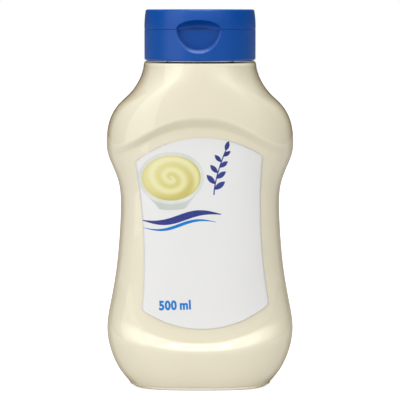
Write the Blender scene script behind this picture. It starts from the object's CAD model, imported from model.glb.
from math import cos, pi, radians, sin

import bpy
import numpy as np
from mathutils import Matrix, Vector


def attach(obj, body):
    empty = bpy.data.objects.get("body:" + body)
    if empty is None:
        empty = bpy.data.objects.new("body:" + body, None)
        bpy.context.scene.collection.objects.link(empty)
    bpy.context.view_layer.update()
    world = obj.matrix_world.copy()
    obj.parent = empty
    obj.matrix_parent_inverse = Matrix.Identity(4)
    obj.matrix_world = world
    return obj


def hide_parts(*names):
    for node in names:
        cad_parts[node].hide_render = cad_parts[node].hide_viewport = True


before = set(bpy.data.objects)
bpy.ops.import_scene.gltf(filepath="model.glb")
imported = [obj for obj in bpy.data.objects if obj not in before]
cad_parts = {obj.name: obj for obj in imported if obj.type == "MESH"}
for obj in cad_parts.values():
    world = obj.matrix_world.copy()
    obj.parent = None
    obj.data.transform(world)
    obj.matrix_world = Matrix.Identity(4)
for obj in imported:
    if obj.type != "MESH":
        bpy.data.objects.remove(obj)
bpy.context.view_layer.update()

MM = 0.001

# ---- The bottle's skin, from the same sizes as the CAD model, in millimetres ----
BODY_HEIGHT = 160.1
SHOULDER_HALF_WIDTH, WAIST_HALF_WIDTH, HIP_HALF_WIDTH, FOOT_HALF_WIDTH = 45.9, 39.0, 45.9, 32.6
BODY_HALF_DEPTH, FOOT_HALF_DEPTH, RIM_RADIUS = 28.4, 21.4, 27.35
HIP_HEIGHT, WAIST_HEIGHT, SHOULDER_HEIGHT = 29.1, 88.7, 120.3
RIM_SQUARENESS, SHOULDER_SQUARENESS, WAIST_SQUARENESS = 2.0, 2.3, 2.65
HIP_SQUARENESS, FOOT_SQUARENESS = 2.45, 2.9
PANEL_DEPTH, PANEL_TOP_SIDE, PANEL_TOP_RISE = 3.5, 114.7, 14.0
PANEL_BOTTOM_SIDE, PANEL_BOTTOM_DROP = 34.3, 10.6
UPPER_STEP, LOWER_STEP, LOWER_STEP_DROP, WAVE_POWER = 3.1, 8.6, 5.0, 1.25
WALL, BASE_THICKNESS, TOP_THICKNESS, BASE_HOLLOW, BASE_RING = 0.7, 2.0, 1.2, 1.0, 5.0
FOOT_ROUNDING, RIM_ROUNDING = 1.6, 1.2
NECK_RADIUS, NECK_WALL, NECK_HEIGHT = 18.5, 2.0, 13.0
LABEL_HALF_WIDTH, LABEL_WAIST_INSET, LABEL_HALF_HEIGHT, LABEL_BOW = 31.1, 2.5, 36.6, 9.7
LABEL_CORNER, LABEL_SHIFT, LABEL_HEIGHT, LABEL_TILT = 1.5, 1.1, 77.3, 2.6
LABEL_THICKNESS = 0.12

# ---- What only the looks need ----
AROUND = 192               # points round the body
INTO_WALL = 0.35           # how far the contents' skin lies inside the bottle's
PRINT_LIFT = 0.02          # each printed layer above the one below
PRINT_ROUGHNESS = 0.3
FILM_TURNED_IN = 1.5       # the label's drawn thickness, as a share of the real one

# ---- The print, on the label's flat plan: across and up from its middle ----
BOWL, BOWL_HALF, CREAM_HALF = (-13.8, 27.6), (16.0, 12.6), (14.3, 10.9)
BOWL_FOOT_HALF, BOWL_FOOT_DROP, BOWL_FOOT_BOW = 6.5, 14.6, 0.8
RIBBON_RISE = 1.6
DARK_RIBBON_START, DARK_RIBBON_END, DARK_RIBBON_THICKNESS = (-28.6, 7.5), (9.5, 9.0), 3.6
MID_RIBBON_START, MID_RIBBON_END, MID_RIBBON_THICKNESS = (-28.4, 3.9), (7.0, 5.4), 1.6
STEM_FOOT, STEM_LEAN, STEM_HEIGHT, STEM_HALF = (6.5, 18.5), 6.5, 21.0, 0.3
LEAF_TURN, LEAF_LEAN = 48, 8
LEAF_LENGTH, LEAF_WIDTH, LEAF_SHORTER, LEAF_NARROWER = 6.4, 2.7, 0.35, 0.12
TIP_TURN, TIP_LENGTH, TIP_WIDTH = 20, 5.0, 2.2
VOLUME_SIZE, VOLUME_BOLDER, VOLUME_NARROWED = 6.1, 0.28, 0.88
VOLUME_PLACE = (-22.6, -36.2)


def station(low, high, height_share, size_share):
    """A point of an outline, as shares of the way from one named point to the next."""
    return tuple(a + (b - a) * share for a, b, share in zip(low, high, (height_share, size_share)))


def smooth_curve(stations):
    """A natural cubic spline through (height, size) stations, as a function of height."""
    heights, sizes = np.array(stations).T
    steps = np.diff(heights)
    slopes = np.diff(sizes) / steps
    bend = np.eye(len(heights))
    load = np.zeros(len(heights))
    for i in range(1, len(heights) - 1):
        bend[i, i - 1:i + 2] = steps[i - 1], 2 * (steps[i - 1] + steps[i]), steps[i]
        load[i] = 6 * (slopes[i] - slopes[i - 1])
    curve = np.linalg.solve(bend, load)

    def value(height):
        i = int(np.clip(np.searchsorted(heights, height) - 1, 0, len(steps) - 1))
        below, above, step = height - heights[i], heights[i + 1] - height, steps[i]
        cubic = (curve[i] * above ** 3 + curve[i + 1] * below ** 3) / (6 * step)
        low = (sizes[i] / step - curve[i] * step / 6) * above
        high = (sizes[i + 1] / step - curve[i + 1] * step / 6) * below
        return float(cubic + low + high)

    return value


def soft_ramp(height, start, end):
    """0 before start, 1 after end, with rounded corners between."""
    t = (height - start) / (end - start)
    sharpness = 9.0
    rise = np.logaddexp(0, sharpness * t) - np.logaddexp(0, sharpness * (t - 1))
    return float(rise / sharpness)


foot = (0, FOOT_HALF_WIDTH)
hip = (HIP_HEIGHT, HIP_HALF_WIDTH)
waist = (WAIST_HEIGHT, WAIST_HALF_WIDTH)
shoulder = (SHOULDER_HEIGHT, SHOULDER_HALF_WIDTH)
rim = (BODY_HEIGHT, RIM_RADIUS)
half_width = smooth_curve([
    foot, station(foot, hip, 0.25, 0.475), station(foot, hip, 0.50, 0.775),
    station(foot, hip, 0.75, 0.945),
    hip, station(hip, waist, 0.20, 0.24), station(hip, waist, 0.47, 0.65),
    station(hip, waist, 0.74, 0.89),
    waist, station(waist, shoulder, 0.38, 0.15), station(waist, shoulder, 0.63, 0.57),
    station(waist, shoulder, 0.80, 0.88),
    shoulder, station(shoulder, rim, 0.20, 0.04), station(shoulder, rim, 0.395, 0.205),
    station(shoulder, rim, 0.49, 0.365), station(shoulder, rim, 0.59, 0.59),
    station(shoulder, rim, 0.69, 0.765), station(shoulder, rim, 0.79, 0.885),
    station(shoulder, rim, 0.89, 0.965),
    rim])
front_foot = (0, FOOT_HALF_DEPTH)
front_hip = (HIP_HEIGHT, BODY_HALF_DEPTH)
front_shoulder = (SHOULDER_HEIGHT, BODY_HALF_DEPTH)
half_depth = smooth_curve([
    front_foot, station(front_foot, front_hip, 0.25, 0.52), station(front_foot, front_hip, 0.50, 0.83),
    station(front_foot, front_hip, 0.75, 0.97),
    front_hip, front_shoulder, station(front_shoulder, rim, 0.5, 0.45),
    rim])
squareness = smooth_curve([
    (0, FOOT_SQUARENESS), (HIP_HEIGHT, HIP_SQUARENESS), (WAIST_HEIGHT, WAIST_SQUARENESS),
    (SHOULDER_HEIGHT, SHOULDER_SQUARENESS), (BODY_HEIGHT, RIM_SQUARENESS)])
ledge_side = PANEL_BOTTOM_SIDE - LOWER_STEP
overhang_side = PANEL_TOP_SIDE + UPPER_STEP
front_lift = smooth_curve([
    (0, 0), (ledge_side, -LOWER_STEP_DROP), (PANEL_BOTTOM_SIDE, -PANEL_BOTTOM_DROP),
    (PANEL_TOP_SIDE, PANEL_TOP_RISE), (overhang_side, PANEL_TOP_RISE + UPPER_STEP / 3),
    (BODY_HEIGHT, 0)])


def recess(level):
    """Depth of the label panel at a level, at the middle of the front."""
    entered = soft_ramp(level, ledge_side, PANEL_BOTTOM_SIDE)
    left = soft_ramp(level, PANEL_TOP_SIDE, overhang_side)
    return PANEL_DEPTH * (entered - left)


def edge_rounding(level):
    """How far the skin draws in near the foot and the rim, along a quarter circle at each."""
    drawn_in = 0.0
    for radius, distance in ((FOOT_ROUNDING, level), (RIM_ROUNDING, BODY_HEIGHT - level)):
        short = max(radius - distance, 0.0)
        drawn_in += radius - (radius ** 2 - short ** 2) ** 0.5
    return drawn_in


def surface_ring(level, turns, outward=0.0):
    """Points of the body's skin at one level, for an array of turns round the plan."""
    power = squareness(level)
    reach = (np.abs(np.cos(turns)) ** power + np.abs(np.sin(turns)) ** power) ** (-1 / power)
    across = reach * np.cos(turns)
    outward = outward - edge_rounding(level)
    x = (half_width(level) + outward) * across
    y = (half_depth(level) - recess(level) + outward) * reach * np.sin(turns)
    wave = (1 + np.cos(pi * np.minimum(np.abs(across), 1.0) ** WAVE_POWER)) / 2
    return np.stack([x, y, level + front_lift(level) * wave], axis=-1)


# ---- Mesh helpers ----
def mesh_object(name, points, faces, smooth=True):
    """A mesh object from points in millimetres and faces."""
    mesh = bpy.data.meshes.new(name)
    mesh.from_pydata([tuple(np.asarray(p) * MM) for p in points], [], faces)
    mesh.validate()
    mesh.update()
    if smooth:
        mesh.polygons.foreach_set("use_smooth", [True] * len(mesh.polygons))
    piece = bpy.data.objects.new(name, mesh)
    bpy.context.collection.objects.link(piece)
    return piece


def ring_mesh(name, rings):
    """A surface through closed rings of the same number of points, capped at both ends."""
    count = len(rings[0])
    points = [p for ring in rings for p in ring]
    faces = []
    for r in range(len(rings) - 1):
        for i in range(count):
            a, b = r * count + i, r * count + (i + 1) % count
            faces.append((a, b, b + count, a + count))
    for ring_start, backwards in ((0, True), ((len(rings) - 1) * count, False)):
        centre = len(points)
        points.append(np.mean(points[ring_start:ring_start + count], axis=0))
        for i in range(count):
            a, b = ring_start + i, ring_start + (i + 1) % count
            faces.append((b, a, centre) if backwards else (a, b, centre))
    return mesh_object(name, points, faces)


def grid_mesh(name, grid):
    """A surface through a rows-by-columns grid of points."""
    rows, columns = len(grid), len(grid[0])
    points = [p for row in grid for p in row]
    faces = []
    for r in range(rows - 1):
        for c in range(columns - 1):
            a = r * columns + c
            faces.append((a, a + 1, a + 1 + columns, a + columns))
    return mesh_object(name, points, faces)


def body_levels():
    """Levels of the rings from foot to rim, closer together where the skin turns sharply."""
    bands = [
        (FOOT_ROUNDING, ledge_side - 3, 22), (ledge_side - 3, PANEL_BOTTOM_SIDE + 3, 40),
        (PANEL_BOTTOM_SIDE + 3, PANEL_TOP_SIDE - 2, 50), (PANEL_TOP_SIDE - 2, overhang_side + 2, 34),
        (overhang_side + 2, BODY_HEIGHT - RIM_ROUNDING, 44)]
    levels = [level for low, high, count in bands for level in np.linspace(low, high, count)[:-1]]
    turns = [pi / 2 * i / 8 for i in range(9)]
    levels += [FOOT_ROUNDING * (1 - cos(turn)) for turn in turns[:-1]]
    levels += [BODY_HEIGHT - RIM_ROUNDING * (1 - cos(turn)) for turn in turns]
    return sorted(levels)


all_turns = np.linspace(0, 2 * pi, AROUND, endpoint=False)


def circle_ring(radius, height):
    """A round ring with the same turns as the body's rings."""
    return np.stack([radius * np.cos(all_turns), radius * np.sin(all_turns),
                     np.full(AROUND, float(height))], axis=-1)


def flat_ring(ring, height):
    """A copy of a ring, moved to a height."""
    return np.column_stack([ring[:, 0], ring[:, 1], np.full(len(ring), float(height))])


# ---- Materials ----
def new_material(name):
    material = bpy.data.materials.new(name)
    material.use_nodes = True
    return material, material.node_tree.nodes, material.node_tree.links


def shader_of(nodes):
    return nodes["Principled BSDF"]


def mixed_noise(nodes, links, scale, low, high):
    """A colour that drifts between two, by a noise in the object's own space."""
    place = nodes.new("ShaderNodeTexCoord")
    noise = nodes.new("ShaderNodeTexNoise")
    noise.inputs["Scale"].default_value = scale
    noise.inputs["Detail"].default_value = 3.0
    ramp = nodes.new("ShaderNodeValToRGB")
    ramp.color_ramp.elements[0].position = 0.3
    ramp.color_ramp.elements[0].color = (*low, 1)
    ramp.color_ramp.elements[1].position = 0.7
    ramp.color_ramp.elements[1].color = (*high, 1)
    links.new(place.outputs["Object"], noise.inputs["Vector"])
    links.new(noise.outputs["Fac"], ramp.inputs["Fac"])
    return ramp.outputs["Color"]


def fine_bump(nodes, links, scale, strength, distance):
    """A fine moulded grain."""
    place = nodes.new("ShaderNodeTexCoord")
    noise = nodes.new("ShaderNodeTexNoise")
    noise.inputs["Scale"].default_value = scale
    noise.inputs["Detail"].default_value = 2.0
    bump = nodes.new("ShaderNodeBump")
    bump.inputs["Strength"].default_value = strength
    bump.inputs["Distance"].default_value = distance
    links.new(place.outputs["Object"], noise.inputs["Vector"])
    links.new(noise.outputs["Fac"], bump.inputs["Height"])
    return bump.outputs["Normal"]


def contents_material():
    """Mayonnaise against the inside of the wall: even cream, a little deeper in places."""
    material, nodes, links = new_material("contents_cream")
    shader = shader_of(nodes)
    colour = mixed_noise(nodes, links, 22.0, (0.878, 0.822, 0.662), (0.906, 0.855, 0.700))
    links.new(colour, shader.inputs["Base Color"])
    shader.inputs["Roughness"].default_value = 0.45
    shader.inputs["Specular IOR Level"].default_value = 0.2
    return material


def shell_material():
    """Clear glossy plastic: lets the contents through and mirrors the lamps by Fresnel."""
    material, nodes, links = new_material("clear_shell")
    nodes.remove(shader_of(nodes))
    clear = nodes.new("ShaderNodeBsdfTransparent")
    slant = nodes.new("ShaderNodeLayerWeight")
    slant.inputs["Blend"].default_value = 0.5
    tint = nodes.new("ShaderNodeValToRGB")
    tint.color_ramp.elements[0].position = 0.50
    tint.color_ramp.elements[0].color = (0.985, 0.985, 0.975, 1)
    tint.color_ramp.elements[1].position = 0.98
    tint.color_ramp.elements[1].color = (0.30, 0.21, 0.10, 1)
    middle = tint.color_ramp.elements.new(0.76)
    middle.color = (0.74, 0.67, 0.52, 1)
    links.new(slant.outputs["Facing"], tint.inputs["Fac"])
    links.new(tint.outputs["Color"], clear.inputs["Color"])
    gloss = nodes.new("ShaderNodeBsdfGlossy")
    gloss.inputs["Color"].default_value = (1, 1, 1, 1)
    gloss.inputs["Roughness"].default_value = 0.05
    fresnel = nodes.new("ShaderNodeFresnel")
    fresnel.inputs["IOR"].default_value = 1.58
    mix = nodes.new("ShaderNodeMixShader")
    normal = fine_bump(nodes, links, 60.0, 0.04, 0.0004)
    links.new(normal, gloss.inputs["Normal"])
    side = nodes.new("ShaderNodeNewGeometry")
    from_outside = nodes.new("ShaderNodeMath")
    from_outside.operation = "SUBTRACT"
    from_outside.inputs[0].default_value = 1.0
    mirrored = nodes.new("ShaderNodeMath")
    mirrored.operation = "MULTIPLY"
    links.new(side.outputs["Backfacing"], from_outside.inputs[1])
    links.new(fresnel.outputs["Fac"], mirrored.inputs[0])
    links.new(from_outside.outputs["Value"], mirrored.inputs[1])
    links.new(mirrored.outputs["Value"], mix.inputs["Fac"])
    links.new(clear.outputs["BSDF"], mix.inputs[1])
    links.new(gloss.outputs["BSDF"], mix.inputs[2])
    links.new(mix.outputs["Shader"], nodes["Material Output"].inputs["Surface"])
    return material


def cap_material():
    """Satin moulded plastic, deep blue."""
    material, nodes, links = new_material("cap_blue")
    shader = shader_of(nodes)
    colour = mixed_noise(nodes, links, 35.0, (0.0015, 0.068, 0.350), (0.0025, 0.080, 0.385))
    links.new(colour, shader.inputs["Base Color"])
    shader.inputs["Roughness"].default_value = 0.30
    shader.inputs["Specular IOR Level"].default_value = 0.35
    links.new(fine_bump(nodes, links, 2500.0, 0.12, 0.00005), shader.inputs["Normal"])
    return material


def print_material(name, low, high, scale=40.0):
    """Printed film: a colour with a slight drift, semi-gloss."""
    material, nodes, links = new_material(name)
    shader = shader_of(nodes)
    links.new(mixed_noise(nodes, links, scale, low, high), shader.inputs["Base Color"])
    shader.inputs["Roughness"].default_value = PRINT_ROUGHNESS
    shader.inputs["Specular IOR Level"].default_value = 0.4
    links.new(fine_bump(nodes, links, 900.0, 0.05, 0.00005), shader.inputs["Normal"])
    return material


def place_piece(piece, material, slot, *replaced):
    piece.data.materials.clear()
    piece.data.materials.append(material)
    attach(piece, "root")
    if replaced:
        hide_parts(*replaced)


# ---- Bottle: one closed mesh, outside and inside ----
levels = body_levels()
neck_top = BODY_HEIGHT + NECK_HEIGHT
deck_under = BODY_HEIGHT - TOP_THICKNESS
bore = NECK_RADIUS - NECK_WALL
hollow_edge = flat_ring(surface_ring(0, all_turns, -BASE_RING), 0)
hollow_floor = flat_ring(surface_ring(0, all_turns, -BASE_RING - 2 * BASE_HOLLOW), BASE_HOLLOW)
cavity = [surface_ring(level, all_turns, -WALL) for level in levels]
cavity = [ring for ring in cavity if BASE_THICKNESS < ring[:, 2].min() and ring[:, 2].max() < deck_under]
shell_rings = [flat_ring(hollow_floor * 0.5, BASE_HOLLOW), hollow_floor, hollow_edge]
shell_rings += [surface_ring(level, all_turns) for level in levels]
shell_rings += [circle_ring(NECK_RADIUS, BODY_HEIGHT), circle_ring(NECK_RADIUS, neck_top),
                circle_ring(bore, neck_top), circle_ring(bore, deck_under)]
shell_rings += [flat_ring(cavity[-1], deck_under)] + cavity[::-1] + [flat_ring(cavity[0], BASE_THICKNESS)]
shell_rings += [flat_ring(cavity[0] * 0.5, BASE_THICKNESS)]
shell = ring_mesh("bottle_shell", shell_rings)
place_piece(shell, shell_material(), "clear_shell", "bottle")

# ---- Contents: their skin lies just inside the wall's outer face ----
fill = [surface_ring(level, all_turns, -INTO_WALL) for level in levels]
fill_low, fill_high = BASE_THICKNESS - INTO_WALL, deck_under + INTO_WALL
fill = [ring for ring in fill if fill_low < ring[:, 2].min() and ring[:, 2].max() < fill_high]
fill_rings = [flat_ring(fill[0] * 0.5, fill_low), flat_ring(fill[0], fill_low)] + fill
fill_rings += [flat_ring(fill[-1], fill_high), flat_ring(fill[-1] * 0.5, fill_high)]
contents = ring_mesh("contents_fill", fill_rings)
place_piece(contents, contents_material(), "contents", "mayonnaise")

# ---- Labels ----
panel_levels = np.linspace(ledge_side - 3, overhang_side + 2, 200)
side_turns = np.linspace(-pi + 0.02, -0.02, 160)
panel_grid = np.array([surface_ring(level, side_turns) for level in panel_levels])


def panel_column(x):
    """Heights and depths of the panel's skin up the column at x."""
    heights = [np.interp(x, row[:, 0], row[:, 2]) for row in panel_grid]
    depths = [np.interp(x, row[:, 0], -row[:, 1]) for row in panel_grid]
    return heights, depths


columns = {}               # the columns worked out so far


def on_panel(u, v, facing, lift):
    """A point of the label's flat plan (u across, v up, from its middle) laid on the panel."""
    tilt = radians(LABEL_TILT)
    x = LABEL_SHIFT + u * cos(tilt) - v * sin(tilt)
    z = LABEL_HEIGHT + u * sin(tilt) + v * cos(tilt)
    key = round(x, 2)
    if key not in columns:
        columns[key] = panel_column(key)
    depth = float(np.interp(z, *columns[key])) + lift
    return (-facing * x, facing * depth, z)


def bow(share, height):
    """An arc's height above its chord, share from -1 to 1 across the chord."""
    half = LABEL_HALF_WIDTH
    radius = (half ** 2 + height ** 2) / (2 * height)
    return (radius ** 2 - (share * half) ** 2) ** 0.5 - (radius - height)


def label_point(across, up):
    """A point of the label's plan, both shares from -1 to 1, with its corners rounded."""
    near_end = max(LABEL_CORNER - (1 - abs(up)) * LABEL_HALF_HEIGHT, 0.0)
    corner = LABEL_CORNER - (LABEL_CORNER ** 2 - near_end ** 2) ** 0.5
    inset = LABEL_WAIST_INSET * (1 - up ** 2) + corner
    u = across * (LABEL_HALF_WIDTH - inset)
    v = up * (LABEL_HALF_HEIGHT + bow(across, LABEL_BOW))
    return u, v


def label_piece(name, facing):
    """The label's film, with its thickness turned in at the edge."""
    shares = np.linspace(-1, 1, 61)
    ups = np.sin(np.linspace(-pi / 2, pi / 2, 75))
    grid = [[on_panel(*label_point(a, b), facing, LABEL_THICKNESS) for a in shares[::-facing]] for b in ups]
    piece = grid_mesh(name, grid)
    edge = piece.modifiers.new("film", "SOLIDIFY")
    edge.thickness = LABEL_THICKNESS * MM * FILM_TURNED_IN
    edge.offset = -1
    return piece


film = print_material("label_white", (0.80, 0.80, 0.805), (0.83, 0.83, 0.83), scale=15.0)
label_front = label_piece("label_front_film", -1)
place_piece(label_front, film, "label", "label_front")
label_back = label_piece("label_back_film", 1)
place_piece(label_back, film, "label", "label_back")


# ---- Print on the front label ----
def printed(name, grid, material, layer):
    """A printed field: a grid of points of the label's plan, laid on the label."""
    lift = LABEL_THICKNESS + PRINT_LIFT * layer
    piece = grid_mesh(name, [[on_panel(u, v, -1, lift) for u, v in row] for row in grid])
    place_piece(piece, material, "label")
    return piece


def disc_grid(centre, half_sizes, rings=9):
    """An oval field."""
    turns = np.linspace(0, 2 * pi, 145)
    shares = np.linspace(0.001, 1, rings)
    return [[(centre[0] + half_sizes[0] * s * cos(t), centre[1] + half_sizes[1] * s * sin(t))
             for t in turns] for s in shares]


def between_lines(low_line, high_line, steps=81, rows=7):
    """A field between two lines, each a function of the share along it."""
    shares = np.linspace(0, 1, steps)
    return [[tuple(np.array(low_line(t)) * (1 - s) + np.array(high_line(t)) * s) for t in shares]
            for s in np.linspace(0, 1, rows)]


def wave_ribbon(start, end, thickness):
    """A ribbon that swells and tapers along a wave from start to end."""
    def line(side):
        def point(t):
            u = start[0] + (end[0] - start[0]) * t
            v = start[1] + (end[1] - start[1]) * t - RIBBON_RISE * sin(2 * pi * t)
            return u, v + side * thickness / 2 * (0.12 + 0.88 * sin(pi * t) ** 1.2)
        return point
    return between_lines(line(-1), line(1))


def leaf(base, angle, length, width):
    """A pointed leaf from its base, at an angle from straight up."""
    def line(side):
        def point(t):
            out, along = side * width / 2 * sin(pi * t) ** 0.8, length * t
            turn = radians(angle)
            return (base[0] + along * sin(turn) + out * cos(turn),
                    base[1] + along * cos(turn) - out * sin(turn))
        return point
    return between_lines(line(-1), line(1), steps=31, rows=5)


def volume_text():
    """The pack's volume, in plain bold figures."""
    curve = bpy.data.curves.new("volume_text", "FONT")
    curve.body = "500 ml"
    curve.size = VOLUME_SIZE
    curve.offset = VOLUME_BOLDER
    curve.space_character = 1.10
    curve.space_word = 0.62
    curve.resolution_u = 6
    maker = bpy.data.objects.new("volume_maker", curve)
    bpy.context.collection.objects.link(maker)
    flat = bpy.data.meshes.new_from_object(maker.evaluated_get(bpy.context.evaluated_depsgraph_get()))
    bpy.data.objects.remove(maker)
    points = [on_panel(v.co.x * VOLUME_NARROWED + VOLUME_PLACE[0], v.co.y + VOLUME_PLACE[1], -1,
                       LABEL_THICKNESS + PRINT_LIFT * 2) for v in flat.vertices]
    faces = [tuple(p.vertices) for p in flat.polygons]
    piece = mesh_object("print_volume", points, faces, smooth=False)
    place_piece(piece, mid_blue, "label")


def cream_material():
    """Spooned cream: a loose spiral of light crests and deeper hollows."""
    material, nodes, links = new_material("print_cream")
    shader = shader_of(nodes)
    fold = nodes.new("ShaderNodeAttribute")
    fold.attribute_name = "fold"
    ramp = nodes.new("ShaderNodeValToRGB")
    ramp.color_ramp.elements[0].position = 0.05
    ramp.color_ramp.elements[0].color = (0.60, 0.53, 0.16, 1)
    ramp.color_ramp.elements[1].position = 0.95
    ramp.color_ramp.elements[1].color = (0.84, 0.81, 0.48, 1)
    middle = ramp.color_ramp.elements.new(0.4)
    middle.color = (0.75, 0.70, 0.31, 1)
    links.new(fold.outputs["Fac"], ramp.inputs["Fac"])
    links.new(ramp.outputs["Color"], shader.inputs["Base Color"])
    shader.inputs["Roughness"].default_value = PRINT_ROUGHNESS
    return material


def cream_fold(across, up):
    """Light and dark of the spooned cream, at shares of the oval's half sizes."""
    out, turn = (across ** 2 + up ** 2) ** 0.5, np.arctan2(up, across)
    spiral = 0.5 + 0.5 * sin(2 * pi * 2.4 * out ** 0.8 + turn + 0.6 * sin(2 * turn + 1.0))
    shade = 0.25 * (up - across) * out
    return float(np.clip(0.30 + 0.55 * spiral ** 1.6 + shade - 0.35 * max(out - 0.86, 0) / 0.14, 0, 1))


dark_blue = print_material("print_dark_blue", (0.022, 0.034, 0.215), (0.040, 0.058, 0.275), scale=160.0)
mid_blue = print_material("print_mid_blue", (0.0, 0.19, 0.60), (0.0, 0.21, 0.63))
china = print_material("print_china", (0.60, 0.64, 0.60), (0.80, 0.82, 0.79), scale=60.0)
china_shade = print_material("print_china_shade", (0.50, 0.55, 0.50), (0.66, 0.70, 0.66), scale=60.0)

printed("print_bowl_side", between_lines(
    lambda t: (BOWL[0] - BOWL_FOOT_HALF * cos(pi * t),
               BOWL[1] - BOWL_FOOT_DROP - BOWL_FOOT_BOW * sin(pi * t)),
    lambda t: (BOWL[0] - BOWL_HALF[0] * cos(pi * t), BOWL[1] - BOWL_HALF[1] * sin(pi * t))), china_shade, 1)
printed("print_bowl_rim", disc_grid(BOWL, BOWL_HALF), china, 2)
cream_grid = disc_grid(BOWL, CREAM_HALF, rings=60)
cream = printed("print_cream", cream_grid, cream_material(), 3)
fold = cream.data.attributes.new("fold", "FLOAT", "POINT")
fold.data.foreach_set("value", [
    cream_fold((u - BOWL[0]) / CREAM_HALF[0], (v - BOWL[1]) / CREAM_HALF[1])
    for row in cream_grid for u, v in row])

printed("print_ribbon_dark", wave_ribbon(DARK_RIBBON_START, DARK_RIBBON_END, DARK_RIBBON_THICKNESS),
        dark_blue, 1)
printed("print_ribbon_mid", wave_ribbon(MID_RIBBON_START, MID_RIBBON_END, MID_RIBBON_THICKNESS),
        mid_blue, 1)


def stem_point(t, aside=0.0):
    """A point of the sprig's stem, which leans more the higher it is."""
    return STEM_FOOT[0] + STEM_LEAN * t ** 1.5 + aside, STEM_FOOT[1] + STEM_HEIGHT * t


printed("print_stem", between_lines(
    lambda t: stem_point(t, -STEM_HALF), lambda t: stem_point(t, STEM_HALF)), dark_blue, 1)
stem = [stem_point(t) for t in np.linspace(0, 1, 9)]
for i, base in enumerate(stem[1:-1]):
    side = -1 if i % 2 else 1
    length, width = LEAF_LENGTH - LEAF_SHORTER * i, LEAF_WIDTH - LEAF_NARROWER * i
    printed(f"print_leaf_{i}", leaf(base, side * LEAF_TURN + LEAF_LEAN, length, width), dark_blue, 1)
printed("print_leaf_tip", leaf(stem[-1], TIP_TURN, TIP_LENGTH, TIP_WIDTH), dark_blue, 1)

volume_text()

# ---- Cap: the CAD pieces, in satin blue ----
blue = cap_material()
for node in ("cap_base", "cap_lid", "cap_hinge"):
    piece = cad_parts[node]
    piece.data.materials.clear()
    piece.data.materials.append(blue)

# ---- Camera, at the height of the cap, a little over a metre away ----
PHOTO_WIDTH = 400
CAMERA_DISTANCE, CAMERA_HEIGHT = 1.1114, 0.1816
FOCAL_PIXELS = 2260.8
CAMERA_PITCH = 4.6277
SENSOR = 36.0
camera_data = bpy.data.cameras.new("camera")
camera_data.sensor_width = SENSOR
camera_data.lens = FOCAL_PIXELS / PHOTO_WIDTH * SENSOR
camera = bpy.data.objects.new("camera", camera_data)
camera.location = (0, -CAMERA_DISTANCE, CAMERA_HEIGHT)
camera.rotation_euler = (radians(90 - CAMERA_PITCH), 0, 0)
bpy.context.collection.objects.link(camera)
bpy.context.scene.camera = camera


# ---- Studio: a large lamp at the left, a soft one high in front, a narrow one overhead ----
AIM = Vector((0, 0, 0.095))


def softbox(name, azimuth, elevation, distance, size, radiance):
    """A lamp around the bottle: azimuth 0 is in front, positive to the right."""
    turn, rise = radians(azimuth), radians(elevation)
    away = Vector((sin(turn) * cos(rise), -cos(turn) * cos(rise), sin(rise)))
    data = bpy.data.lights.new(name, "AREA")
    data.shape = "RECTANGLE"
    data.size, data.size_y = size
    data.energy = radiance * pi * size[0] * size[1]
    lamp = bpy.data.objects.new(name, data)
    lamp.location = AIM + away * distance
    lamp.rotation_euler = (AIM - lamp.location).to_track_quat("-Z", "Y").to_euler()
    bpy.context.collection.objects.link(lamp)


softbox("key_left", -55, 12, 1.0, (0.80, 1.10), 0.95)
softbox("front_high", 5, 42, 1.0, (0.90, 0.50), 0.6)
softbox("overhead", 0, 78, 0.9, (0.50, 0.18), 10.0)


def ranged(nodes, links, source, from_low, from_high, to_low, to_high):
    """A smooth step of a value from one range to another."""
    step = nodes.new("ShaderNodeMapRange")
    step.interpolation_type = "SMOOTHSTEP"
    step.inputs["From Min"].default_value = from_low
    step.inputs["From Max"].default_value = from_high
    step.inputs["To Min"].default_value = to_low
    step.inputs["To Max"].default_value = to_high
    links.new(source, step.inputs["Value"])
    return step.outputs["Result"]


def combined(nodes, links, operation, first, second):
    node = nodes.new("ShaderNodeMath")
    node.operation = operation
    links.new(first, node.inputs[0])
    links.new(second, node.inputs[1])
    return node.outputs["Value"]


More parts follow.
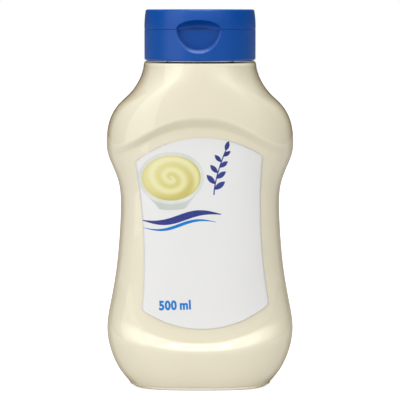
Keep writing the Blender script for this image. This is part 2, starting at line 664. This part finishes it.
# The room: bright high in front and above, dim low in front and behind
world = bpy.data.worlds.new("studio")
world.use_nodes = True
bpy.context.scene.world = world
world_nodes, world_links = world.node_tree.nodes, world.node_tree.links
direction = world_nodes.new("ShaderNodeTexCoord")
axes = world_nodes.new("ShaderNodeSeparateXYZ")
world_links.new(direction.outputs["Generated"], axes.inputs["Vector"])
front = ranged(world_nodes, world_links, axes.outputs["Y"], -0.8, -0.1, 1.30, 0.0)
raised = ranged(world_nodes, world_links, axes.outputs["Z"], 0.08, 0.45, 0.25, 1.0)
above = ranged(world_nodes, world_links, axes.outputs["Z"], 0.3, 0.9, 0.0, 0.5)
behind = ranged(world_nodes, world_links, axes.outputs["Y"], 0.0, 0.6, 0.03, 0.10)
glow = combined(world_nodes, world_links, "MULTIPLY", front, raised)
glow = combined(world_nodes, world_links, "ADD", glow, above)
glow = combined(world_nodes, world_links, "ADD", glow, behind)
room = world_nodes["Background"]
room.inputs["Color"].default_value = (1, 1, 1, 1)
world_links.new(glow, room.inputs["Strength"])
white = world_nodes.new("ShaderNodeBackground")
white.inputs["Color"].default_value = (1, 1, 1, 1)
white.inputs["Strength"].default_value = 1.0
sight = world_nodes.new("ShaderNodeLightPath")
choose = world_nodes.new("ShaderNodeMixShader")
world_links.new(sight.outputs["Is Camera Ray"], choose.inputs["Fac"])
world_links.new(room.outputs["Background"], choose.inputs[1])
world_links.new(white.outputs["Background"], choose.inputs[2])
world_links.new(choose.outputs["Shader"], world_nodes["World Output"].inputs["Surface"])

# The floor: a pale matt sheet that the camera sees as white, with the bottle's shadow on it
FLOOR_EDGES, FLOOR_GLOW = (-6000.0, 6000.0), 0.8
floor = grid_mesh("floor", [[(x, y, 0) for x in FLOOR_EDGES] for y in FLOOR_EDGES])
floor_material, floor_nodes, floor_links = new_material("floor_white")
floor_shader = shader_of(floor_nodes)
floor_shader.inputs["Base Color"].default_value = (0.72, 0.71, 0.69, 1)
floor_shader.inputs["Roughness"].default_value = 0.9
floor_shader.inputs["Specular IOR Level"].default_value = 0.0
floor_shader.inputs["Emission Color"].default_value = (1, 1, 1, 1)
floor_sight = floor_nodes.new("ShaderNodeLightPath")
floor_white = floor_nodes.new("ShaderNodeMath")
floor_white.operation = "MULTIPLY"
floor_white.inputs[1].default_value = FLOOR_GLOW
floor_links.new(floor_sight.outputs["Is Camera Ray"], floor_white.inputs[0])
floor_links.new(floor_white.outputs["Value"], floor_shader.inputs["Emission Strength"])
floor.data.materials.append(floor_material)

bpy.context.scene.view_settings.view_transform = "Standard"
